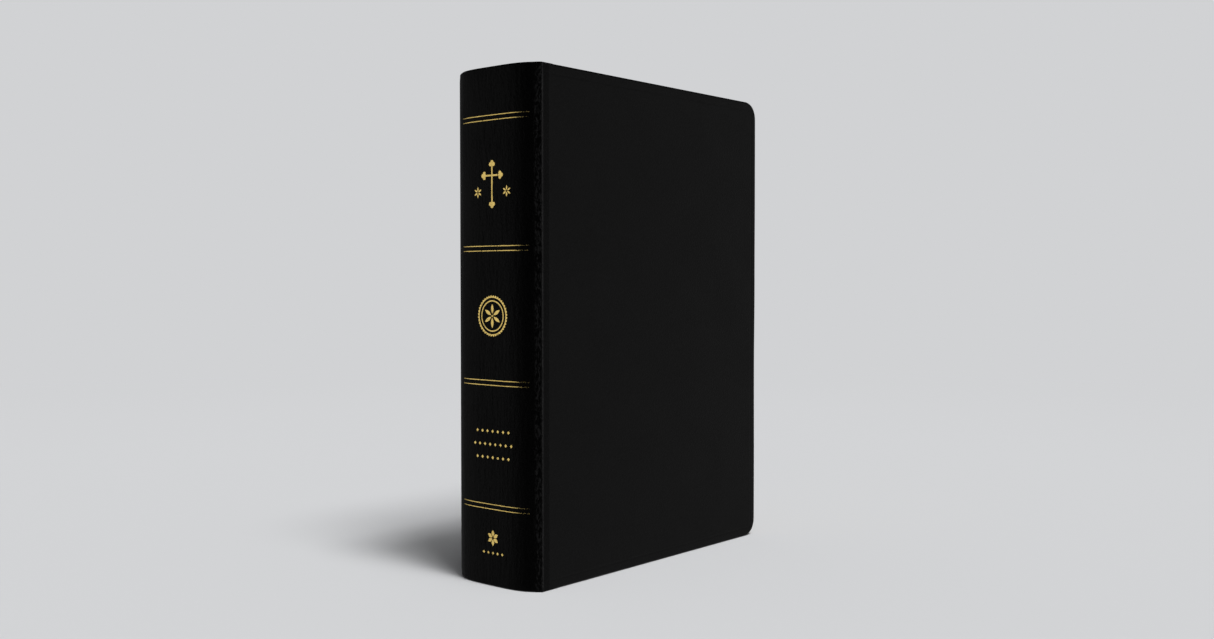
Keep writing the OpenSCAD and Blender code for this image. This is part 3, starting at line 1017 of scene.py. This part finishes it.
def build_side(side, made):
    """The shoulder strip, cover, board, endpaper and pages of the front or the back."""
    name = SIDE_NAMES[side]
    half, joint, cover = (f"{name}_{body}" for body in ("half", "joint", "cover"))
    shoulder_at = Vector((SHOULDER, side * HALF, HEAD / 2))
    board_at = Vector((BOARD, side * HALF, HEAD / 2))
    reach = Vector((JOINT_BEND, 0, 0))

    strip_materials = [made["spine_leather"], made["endpaper"]]
    strip = swept_skin(f"{name}_shoulder_leather", shoulder_columns(side), strip_materials)
    line_inside(strip, side)
    layers = (f"{name}_joint_{layer}" for layer in ("leather", "mull", "endpaper"))
    folded(strip, (half, joint), shoulder_at, reach, "joint_leather", *layers)

    skin = cover_skin(f"{name}_cover_skin", side, [made["cover_leather"], made["endpaper"]])
    folded(skin, (joint, cover), board_at, reach, "cover_leather", f"{name}_cover_leather")

    sheet = cover_board(f"{name}_board_sheet", f"{name}_cover_board", made["board"])
    carried(sheet, cover, "board", f"{name}_cover_board")

    paste = pastedown(f"{name}_endpaper_pasted", side, made["endpaper"])
    folded(paste, (joint, cover), board_at, reach, "endpaper", f"{name}_pastedown")

    low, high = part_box(f"{name}_sections")
    pages = page_stack(f"{name}_pages", low.y, high.y, 66, [made["paper"], made["edges"]], 11 + side)
    carried(pages, half, "page_paper", f"{name}_sections")

    for node, look in (("flyleaf", "flyleaf"), ("cover_filler", "filler"),
                       ("spine_inlay", "inlay"), ("sewing_thread", "thread")):
        dress_node(f"{name}_{node}", made[look])


def build_book():
    made = make_materials()
    build_spine(made)
    for side in SIDE_NAMES:
        build_side(side, made)
    for number in range(1, 5):
        node = f"gathering_{number}"
        low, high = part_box(node)
        leaves = page_stack(f"{node}_leaves", low.y, high.y, 4, [made["paper"], made["edges"]], 40 + number)
        carried(leaves, f"{node}_body", "page_paper", node)


# ---------- the studio ----------

BACKDROP = (0.638, 0.6445, 0.658)

# (azimuth, elevation, width across in degrees, light on a level floor)
SUNS = ((-104, 58, 20, 1.42), (-93, 69, 11, 1.06), (-106, 80, 20, 0.5))

# What gloss mirrors besides a dim floor: (azimuth, half width in degrees, brightness) of tall soft boxes
SOFT_BOXES = ((-62, 58, 0.64), (-90, 24, 3.4), (134, 36, 0.8), (78, 40, 0.15), (18, 40, 0.4))


def sheen(tree, direction):
    """What the book's sheen mirrors: the soft boxes, a dim floor well below, and darkness elsewhere."""
    height = add(tree, "SeparateXYZ", {"Vector": direction}).outputs["Z"]
    total = ramp(tree, height, -0.3, -0.75, 0.01, 0.5)
    for azimuth, half_width, brightness in SOFT_BOXES:
        turn = math.radians(azimuth)
        towards = (math.cos(turn), math.sin(turn), 0)
        facing = add(tree, "VectorMath", {0: direction, 1: towards}, operation="DOT_PRODUCT").outputs["Value"]
        edge = math.cos(math.radians(half_width))
        glow = ramp(tree, facing, edge, 1.0, 0.0, brightness, interpolation_type="SMOOTHSTEP")
        total = math_node(tree, "ADD", glow, total)
    return total


def build_floor():
    """A pale sweep with no horizon: the floor turns into the background's own colour a metre away."""
    material, tree, shader = begin("studio_floor", (0.61, 0.616, 0.628), 0.85, Specular_IOR_Level=0.0)
    place = object_place(tree, (1, 1, 1))
    tint = mix_colour(tree, pattern(tree, place, 3.0), (0.607, 0.6125, 0.6245), (0.613, 0.6185, 0.6305))
    tree.links.new(tint, shader.inputs["Base Color"])
    distance = add(tree, "VectorMath", {0: place}, operation="LENGTH").outputs["Value"]
    far = ramp(tree, distance, 0.5, 1.3, interpolation_type="SMOOTHSTEP")
    glow = add(tree, "Emission", {"Color": (*BACKDROP, 1), "Strength": 1.0}).outputs[0]
    sweep = add(tree, "MixShader", {0: far, 1: shader.outputs[0], 2: glow}).outputs[0]
    tree.links.new(sweep, tree.nodes["Material Output"].inputs["Surface"])
    bpy.ops.mesh.primitive_grid_add(x_subdivisions=4, y_subdivisions=4, size=80, location=(0, 0, 0))
    floor = bpy.context.object
    floor.name = "studio_floor"
    floor.data.materials.append(material)
    floor.visible_glossy = False


def build_suns():
    """One tall soft light in front of the book, made of three suns."""
    for azimuth, elevation, width, light in SUNS:
        sun = bpy.data.lights.new("key", "SUN")
        sun.energy = light / math.sin(math.radians(elevation))
        sun.angle = math.radians(width)
        lamp = bpy.data.objects.new("key", sun)
        lamp.rotation_euler = (0, math.radians(90 - elevation), math.radians(azimuth))
        lamp.visible_glossy = False
        bpy.context.scene.collection.objects.link(lamp)


def build_world():
    """A dim sky that lights, a plain backdrop that is seen, and soft boxes that gloss mirrors."""
    world = bpy.data.worlds.new("studio")
    bpy.context.scene.world = world
    world.use_nodes = True
    tree = world.node_tree
    tree.nodes.clear()
    path = add(tree, "LightPath")
    direction = add(tree, "TexCoord").outputs["Generated"]
    sky = add(tree, "Background", {"Color": (0.97, 0.985, 1.0, 1), "Strength": 0.12}).outputs[0]
    seen = add(tree, "Background", {"Color": (*BACKDROP, 1), "Strength": 1.0}).outputs[0]
    gloss = add(tree, "Background", {"Color": (1, 1, 1, 1), "Strength": sheen(tree, direction)}).outputs[0]
    lit = add(tree, "MixShader", {0: path.outputs["Is Glossy Ray"], 1: sky, 2: gloss}).outputs[0]
    mixed = add(tree, "MixShader", {0: path.outputs["Is Camera Ray"], 1: lit, 2: seen}).outputs[0]
    add(tree, "OutputWorld", {"Surface": mixed})
    bpy.context.scene.view_settings.view_transform = "Standard"


def build_camera():
    """Stands off the spine's front shoulder, just above the book's middle, and looks slightly down."""
    data = bpy.data.cameras.new("camera")
    data.sensor_width = 36
    data.lens = 36.62
    data.clip_start = 0.01
    camera = bpy.data.objects.new("camera", data)
    camera.location = (-0.4898, -0.4089, 0.141)
    camera.rotation_euler = (math.radians(90 - 1.734), 0, math.radians(-49.75))
    bpy.context.scene.collection.objects.link(camera)
    bpy.context.scene.camera = camera


build_camera()
build_floor()
build_suns()
build_world()
build_book()
